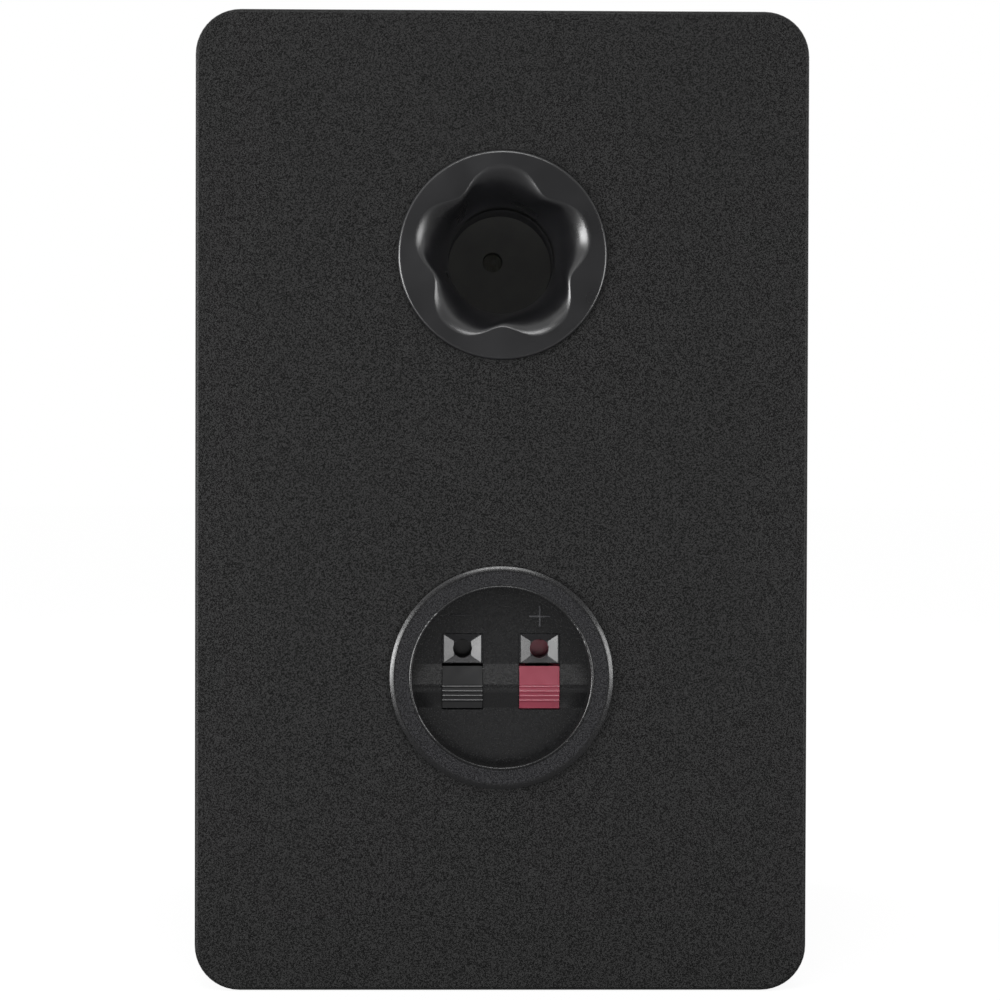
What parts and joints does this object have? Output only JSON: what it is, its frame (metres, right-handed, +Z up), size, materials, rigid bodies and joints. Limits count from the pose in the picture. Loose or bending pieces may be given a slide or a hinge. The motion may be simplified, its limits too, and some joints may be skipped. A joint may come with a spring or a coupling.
{
  "type": "bookshelf speaker",
  "caption": "Two-way bookshelf speaker: wrapped rounded cabinet, woofer, dome tweeter, twisted lobed rear port and a round cup of push terminals.",
  "frame": {"origin": "centre of the cabinet's footprint, on its bottom face", "axes": "+Z up, -Y the way the drivers face, +Y the way the port and the terminals face, +X to the right seen from the front"},
  "size_m": [0.15, 0.204, 0.24],
  "materials": {
    "cabinet_wrap": "fine-grained black vinyl wrap over fibreboard",
    "block_wood": "raw softwood",
    "wadding": "fluffy polyester wadding",
    "port_plastic": "satin black moulding",
    "tube_plastic": "extruded black tube",
    "cup_plastic": "fine-textured black moulding",
    "gasket_foam": "closed-cell foam",
    "lever_black": "satin black moulding",
    "lever_red": "satin red moulding",
    "zinc_screw": "zinc-plated steel",
    "black_screw": "black oxide steel",
    "spring_steel": "spring strip",
    "contact_metal": "nickel-plated strip",
    "pressed_steel": "black powder coat",
    "trim_plastic": "satin black moulding",
    "surround_rubber": "soft butyl rubber",
    "cone_paper": "coated paper pulp",
    "spider_cloth": "resin-dipped corrugated cloth",
    "copper_wire": "enamelled copper winding",
    "plate_steel": "zinc-plated steel plate",
    "ferrite": "ground ferrite",
    "fibre_strip": "phenolic strip with tinned tabs",
    "braided_copper": "braided copper lead",
    "dome_silk": "coated silk",
    "felt": "grey felt",
    "tab_brass": "tinned brass",
    "board": "hardboard",
    "spacer_plastic": "natural nylon",
    "bobbin_plastic": "black moulding",
    "capacitor_film": "film-wrapped with sealed ends",
    "ceramic": "cement-filled ceramic",
    "wire_red": "flexible insulation",
    "wire_blue": "flexible insulation",
    "wire_green": "flexible insulation"
  },
  "bodies": {
    "enclosure": {"top_panel": "cabinet_wrap", "bottom_panel": "cabinet_wrap", "left_panel": "cabinet_wrap", "right_panel": "cabinet_wrap", "front_baffle": "cabinet_wrap", "rear_panel": "cabinet_wrap", "corner_blocks": "block_wood", "wadding": "wadding", "port_flare": "port_plastic", "port_tube": "tube_plastic", "terminal_cup": "cup_plastic", "terminal_gasket": "gasket_foam", "clip_housing": "cup_plastic", "wire_guides": "cup_plastic", "clip_screws": "zinc_screw", "clip_springs": "spring_steel", "contact_strips": "contact_metal", "woofer_basket": "pressed_steel", "woofer_trim_ring": "trim_plastic", "woofer_gasket": "gasket_foam", "woofer_surround": "surround_rubber", "woofer_spider": "spider_cloth", "woofer_top_plate": "plate_steel", "woofer_magnet": "ferrite", "woofer_yoke": "plate_steel", "woofer_terminals": "fibre_strip", "woofer_tinsel_leads": "braided_copper", "woofer_screws": "black_screw", "tweeter_faceplate": "trim_plastic", "tweeter_gasket": "gasket_foam", "tweeter_surround": "dome_silk", "tweeter_top_plate": "plate_steel", "tweeter_magnet": "ferrite", "tweeter_yoke": "plate_steel", "tweeter_felt": "felt", "tweeter_terminals": "tab_brass", "tweeter_screws": "black_screw", "crossover_board": "board", "crossover_spacers": "spacer_plastic", "crossover_screws": "zinc_screw", "inductor_bobbins": "bobbin_plastic", "inductor_windings": "copper_wire", "capacitors": "capacitor_film", "resistor": "ceramic", "input_wires": "wire_red", "woofer_wires": "wire_blue", "tweeter_wires": "wire_green"},
    "negative_lever": {"lever_negative": "lever_black"},
    "positive_lever": {"lever_positive": "lever_red"},
    "woofer_diaphragm": {"woofer_cone": "cone_paper", "woofer_dust_cap": "cone_paper", "woofer_voice_coil": "copper_wire"},
    "tweeter_diaphragm": {"tweeter_dome": "dome_silk", "tweeter_voice_coil": "copper_wire"}
  },
  "joints": [
    {"name": "lever_negative_press", "type": "hinge", "parent": "enclosure", "child": "negative_lever", "pos_m": [0.0095, 0.0898, 0.0779], "axis": [-1, 0, 0], "range_deg": [0, 20], "stiffness_Nm_per_rad": 0.08, "springref_deg": -17.19, "deforming": ["clip_springs"]},
    {"name": "lever_positive_press", "type": "hinge", "parent": "enclosure", "child": "positive_lever", "pos_m": [-0.0095, 0.0898, 0.0779], "axis": [-1, 0, 0], "range_deg": [0, 20], "stiffness_Nm_per_rad": 0.08, "springref_deg": -17.19, "deforming": ["clip_springs"]},
    {"name": "woofer_travel", "type": "slide", "parent": "enclosure", "child": "woofer_diaphragm", "axis": [0, -1, 0], "range_m": [-0.0035, 0.0035], "stiffness_N_per_m": 1200, "deforming": ["woofer_surround", "woofer_spider", "woofer_tinsel_leads"]},
    {"name": "tweeter_travel", "type": "slide", "parent": "enclosure", "child": "tweeter_diaphragm", "axis": [0, -1, 0], "range_m": [-0.0004, 0.0004], "stiffness_N_per_m": 500, "deforming": ["tweeter_surround"]}
  ]
}
